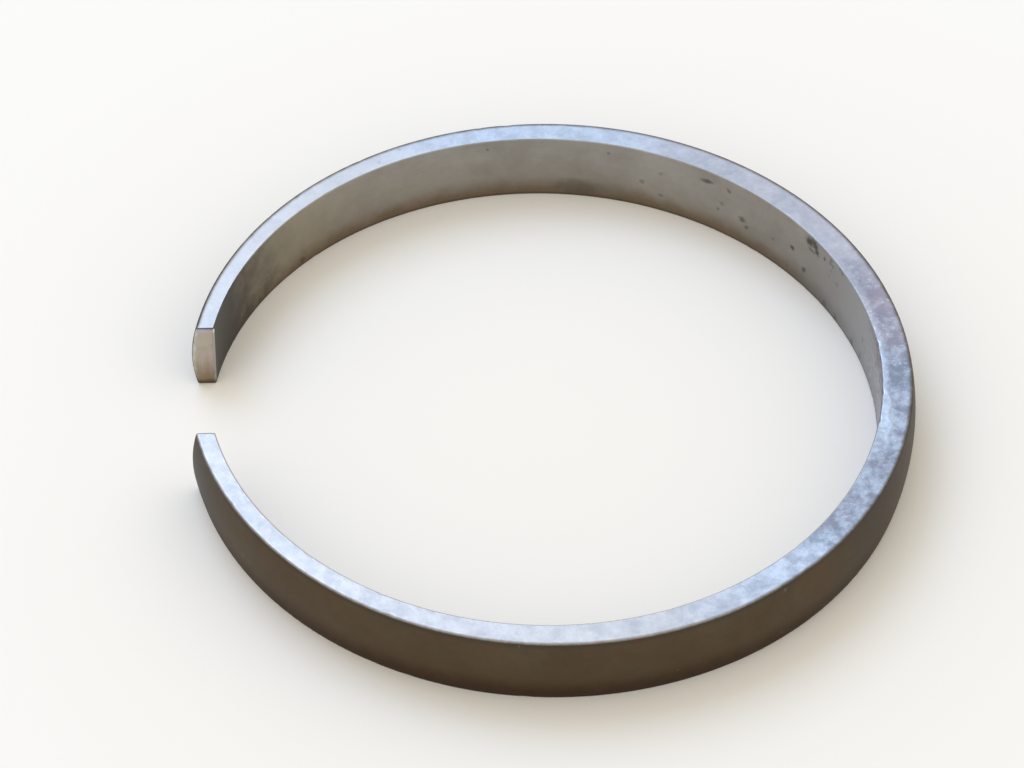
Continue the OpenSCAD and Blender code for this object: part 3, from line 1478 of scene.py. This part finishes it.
    def past_outer_edge(self, at: Points, row: np.ndarray, column: np.ndarray) -> np.ndarray:
        """Distance past the line where the coat begins.

        On the outer side it is the length of the outline from the nearer side face. On the side
        faces it is less than nought, the way still to go, and on the ends it is less than nought by
        the depth under the crown.

        Args:
            at: the points, for each station and point of the section.
            row: row of each point of the section.
            column: column of each point of the section.

        Returns:
            The distance in millimetres, for each station and point.
        """
        out, rise = self.outer_side(np.zeros(1))
        length = np.r_[0.0, np.hypot(np.diff(out[0]), np.diff(rise[0])).cumsum()]
        past = np.minimum(length, length[-1] - length)[row]
        past = np.where(column == self.columns - 1, past, at.radius - self.round_x)
        depth = -self.under_crown(at)
        ends = self.end_steps + 1
        past[:ends] = depth[:ends]
        past[-ends:] = depth[-ends:]
        return past

    def build(self) -> bpy.types.Object:
        """Makes the ring's object, in place of its plain solid.

        Returns:
            The object, still without its finishes.
        """
        skin = self.surface()
        mesh = bpy.data.meshes.new(self.name)
        mesh.from_pydata(skin.vertices.tolist(), [], skin.faces.tolist())
        mesh.polygons.foreach_set("use_smooth", np.ones(len(skin.faces), bool))
        mesh.polygons.foreach_set("material_index", skin.zones.astype(np.int32))
        for name, values in skin.attributes.items():
            mesh.attributes.new(name, "FLOAT", "POINT").data.foreach_set("value", values.astype(np.float32))
        flat_map = mesh.uv_layers.new(name=MAP_NAME)
        flat_map.uv.foreach_set("vector", skin.flat.astype(np.float32).ravel())
        mesh.update()
        ring = new_object(self.name, mesh)
        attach(ring, "root")
        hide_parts(self.node)
        return ring

    def dress(self, ring: bpy.types.Object, effects: Effects) -> None:
        """Gives the ring its four finishes.

        Args:
            ring: the ring's object.
            effects: the shared effects.
        """
        bore_at_ends = self.bore_x - math.sqrt(self.bore_r**2 - self.half_split**2)
        finishes: dict[Zone, Finish] = {
            Zone.BORE: TurnedSteel(),
            Zone.SIDE_FACE: GroundSteel(),
            Zone.FRICTION_FACE: SprayedCoat(),
            Zone.CUT_END: CutSteel(self.height, bore_at_ends),
        }
        for zone in Zone:
            ring.data.materials.append(finishes[zone].make(effects))


def direction(azimuth: float, elevation: float) -> Vector:
    """Unit vector from the ring towards a place: azimuth 0 is at -Y and 90 at +X, in degrees."""
    a, e = math.radians(azimuth), math.radians(elevation)
    return Vector((math.sin(a) * math.cos(e), -math.cos(a) * math.cos(e), math.sin(e)))


@dataclass(frozen=True)
class Softbox:
    """A square area light that looks at the ring. Lengths are in metres."""

    name: str
    azimuth: float
    elevation: float
    distance: float
    side: float
    radiance: float
    colour: Colour = (1.0, 1.0, 1.0)

    def build(self) -> bpy.types.Object:
        """Makes the light, with the power that gives its face this radiance.

        Returns:
            The light's object.
        """
        data = bpy.data.lights.new(self.name, "AREA")
        data.size = self.side
        data.energy = self.radiance * math.pi * self.side**2
        data.color = self.colour
        lamp = new_object(self.name, data)
        lamp.location = direction(self.azimuth, self.elevation) * self.distance
        lamp.rotation_mode = "QUATERNION"
        lamp.rotation_quaternion = lamp.location.to_track_quat("Z", "Y")
        return lamp


@dataclass(frozen=True)
class Studio:
    """A plain pale floor, an even sky and softboxes. Lengths are in metres."""

    floor_half: float = 3.0
    floor_steps: int = 24
    floor_colour: Colour = (0.955, 0.958, 0.972)
    floor_roughness: float = 0.9
    floor_specular: float = 0.1
    sky_colour: Colour = (1.0, 0.92, 0.77)
    sky_strength: float = 0.84
    backdrop: Colour = (0.97, 0.97, 0.97)
    fade_between: Range = (0.04, 0.12)
    lights: tuple[Softbox, ...] = (
        Softbox("back_light", 212.0, 54.0, 0.9, 0.55, 2.8, (0.5, 0.69, 1.0)),
        Softbox("back_window", 176.0, 46.0, 1.2, 1.0, 0.16, (0.3, 0.6, 1.0)),
        Softbox("front_fill", -40.0, 40.0, 1.1, 0.7, 0.4),
    )

    def floor(self) -> bpy.types.Object:
        """Makes the floor: a flat grid of x and y under the ring.

        Returns:
            The floor's object.
        """
        line = np.linspace(-self.floor_half, self.floor_half, self.floor_steps + 1)
        x, y = np.meshgrid(line, line, indexing="ij")
        vertices = np.stack([x, y, np.zeros_like(x)], axis=-1).reshape(-1, 3)
        mesh = bpy.data.meshes.new("floor")
        mesh.from_pydata(vertices.tolist(), [], quads(np.arange(x.size).reshape(x.shape)).tolist())
        mesh.materials.append(self.floor_finish())
        floor = new_object("floor", mesh)
        return floor

    def floor_finish(self) -> bpy.types.Material:
        """Makes the floor's finish: plain and pale, and to the eye the same as the backdrop further off.

        Returns:
            The material.
        """
        material, s = new_material("pale_floor")
        nodes = material.node_tree.nodes
        surface = nodes["Principled BSDF"]
        inputs = {
            "Base Color": self.floor_colour,
            "Roughness": self.floor_roughness,
            "Specular IOR Level": self.floor_specular,
        }
        s.feed_all(surface, inputs)
        glow = s.output("ShaderNodeEmission", {"Color": self.backdrop})
        away = s.vector("LENGTH", s.output("ShaderNodeTexCoord", key="Object"))
        share = away.ramp(*self.fade_between) * self.seen(s)
        joined = s.output("ShaderNodeMixShader", {0: share, 1: Field(s, surface.outputs[0]), 2: glow})
        s.feed(nodes["Material Output"].inputs["Surface"], joined)
        return material

    @staticmethod
    def seen(s: Shader) -> Field:
        """Adds a mask that is one for what the eye sees: straight, mirrored or through glass."""
        rays, kinds = s.node("ShaderNodeLightPath").outputs, ("Camera", "Glossy", "Transmission")
        return reduce(or_, (Field(s, rays[f"Is {kind} Ray"]) for kind in kinds))

    def sky(self) -> None:
        """Makes the world: even soft light, and a pale backdrop to the eye and in reflections."""
        world = bpy.data.worlds.new("studio")
        bpy.context.scene.world = world
        world.use_nodes = True
        s = Shader(world.node_tree)
        background = world.node_tree.nodes["Background"]
        seen = self.seen(s)
        colour = s.blend(seen, self.sky_colour, self.backdrop)
        s.feed_all(background, {"Color": colour, "Strength": s.lerp(seen, self.sky_strength, 1.0)})

    def build(self) -> list[bpy.types.Object]:
        """Makes the sky, the floor and the lights, and returns the floor and the lights."""
        self.sky()
        return [self.floor(), *(light.build() for light in self.lights)]


@dataclass(frozen=True)
class Viewpoint:
    """The camera: it looks at a point on the floor. Lengths are in millimetres, angles in degrees."""

    target: tuple[float, float, float] = (-3.6, 6.1, 0.0)
    azimuth: float = -3.46
    elevation: float = 45.92
    roll: float = 0.824
    distance: float = 520.0
    focal_px: float = 4910.4
    clip_start: float = 10.0

    def build(self) -> bpy.types.Object:
        """Makes the camera.

        Returns:
            The camera's object.
        """
        back = direction(self.azimuth, self.elevation)
        level = Vector((math.cos(math.radians(self.azimuth)), math.sin(math.radians(self.azimuth)), 0.0))
        upright = back.cross(level)
        turn = math.radians(self.roll)
        right = level * math.cos(turn) + upright * math.sin(turn)
        up = upright * math.cos(turn) - level * math.sin(turn)
        data = bpy.data.cameras.new("camera")
        data.sensor_width = SENSOR_MM
        data.lens = self.focal_px * SENSOR_MM / PHOTO_WIDTH_PX
        data.clip_start = self.clip_start * MM
        camera = new_object("camera", data)
        place = Matrix((right, up, back)).transposed().to_4x4()
        place.translation = (Vector(self.target) + back * self.distance) * MM
        camera.matrix_world = place
        bpy.context.scene.camera = camera
        return camera


def main() -> None:
    """Builds the ring, its finishes, the studio and the camera."""
    logging.basicConfig(level=logging.INFO, format="%(name)s: %(message)s")
    bpy.context.scene.view_settings.view_transform = "Standard"
    effects = Effects.build(SprayedCoat())
    ring = SplitRing.from_frame()
    piece = ring.build()
    ring.dress(piece, effects)
    log.info("%s: %d faces, %d finishes", piece.name, len(piece.data.polygons), len(piece.data.materials))
    for made in Studio().build():
        log.info("%s: %s", made.name, made.type.lower())
    camera = Viewpoint().build()
    log.info("%s: %.1f mm lens", camera.name, camera.data.lens)


if __name__ == "__main__":
    main()
